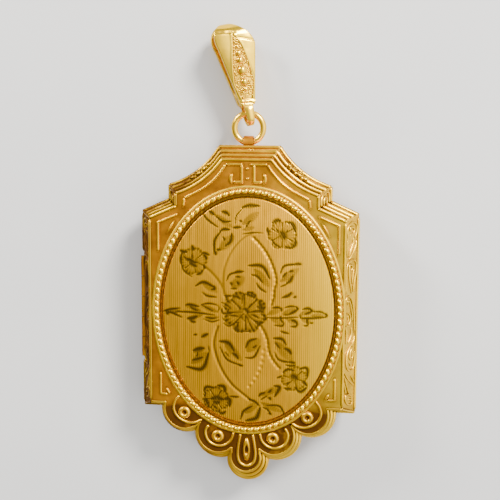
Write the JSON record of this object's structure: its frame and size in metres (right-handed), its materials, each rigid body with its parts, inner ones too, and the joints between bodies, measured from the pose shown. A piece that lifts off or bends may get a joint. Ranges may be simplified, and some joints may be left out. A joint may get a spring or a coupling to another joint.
{
  "type": "hinged locket with drop bail",
  "caption": "Hinged two-cover locket with stepped shoulders, scalloped foot, engraved domed oval panel, beaded rim, jump ring and folded drop bail.",
  "frame": {"origin": "on the back cover's flat back, under the centre of the oval panel", "axes": "+Z out of the panel's face, +Y towards the jump ring and bail, +X to the right seen from the front"},
  "size_m": [0.0321, 0.0676, 0.0089],
  "materials": {
    "case_gold": "polished rose gold",
    "panel_gold": "satin yellow gold with engraving",
    "bail_gold": "polished yellow gold"
  },
  "bodies": {
    "case": {"back_cover": "case_gold", "hinge_pin": "case_gold", "jump_ring": "bail_gold", "bail": "bail_gold"},
    "front_cover": {"front_frame": "case_gold", "front_panel": "panel_gold", "beaded_rim": "case_gold"}
  },
  "joints": [
    {"name": "cover_hinge", "type": "hinge", "parent": "case", "child": "front_cover", "pos_m": [-0.01573, -0.0005, 0.00389], "axis": [0, -1, 0], "range_deg": [0, 160]}
  ]
}
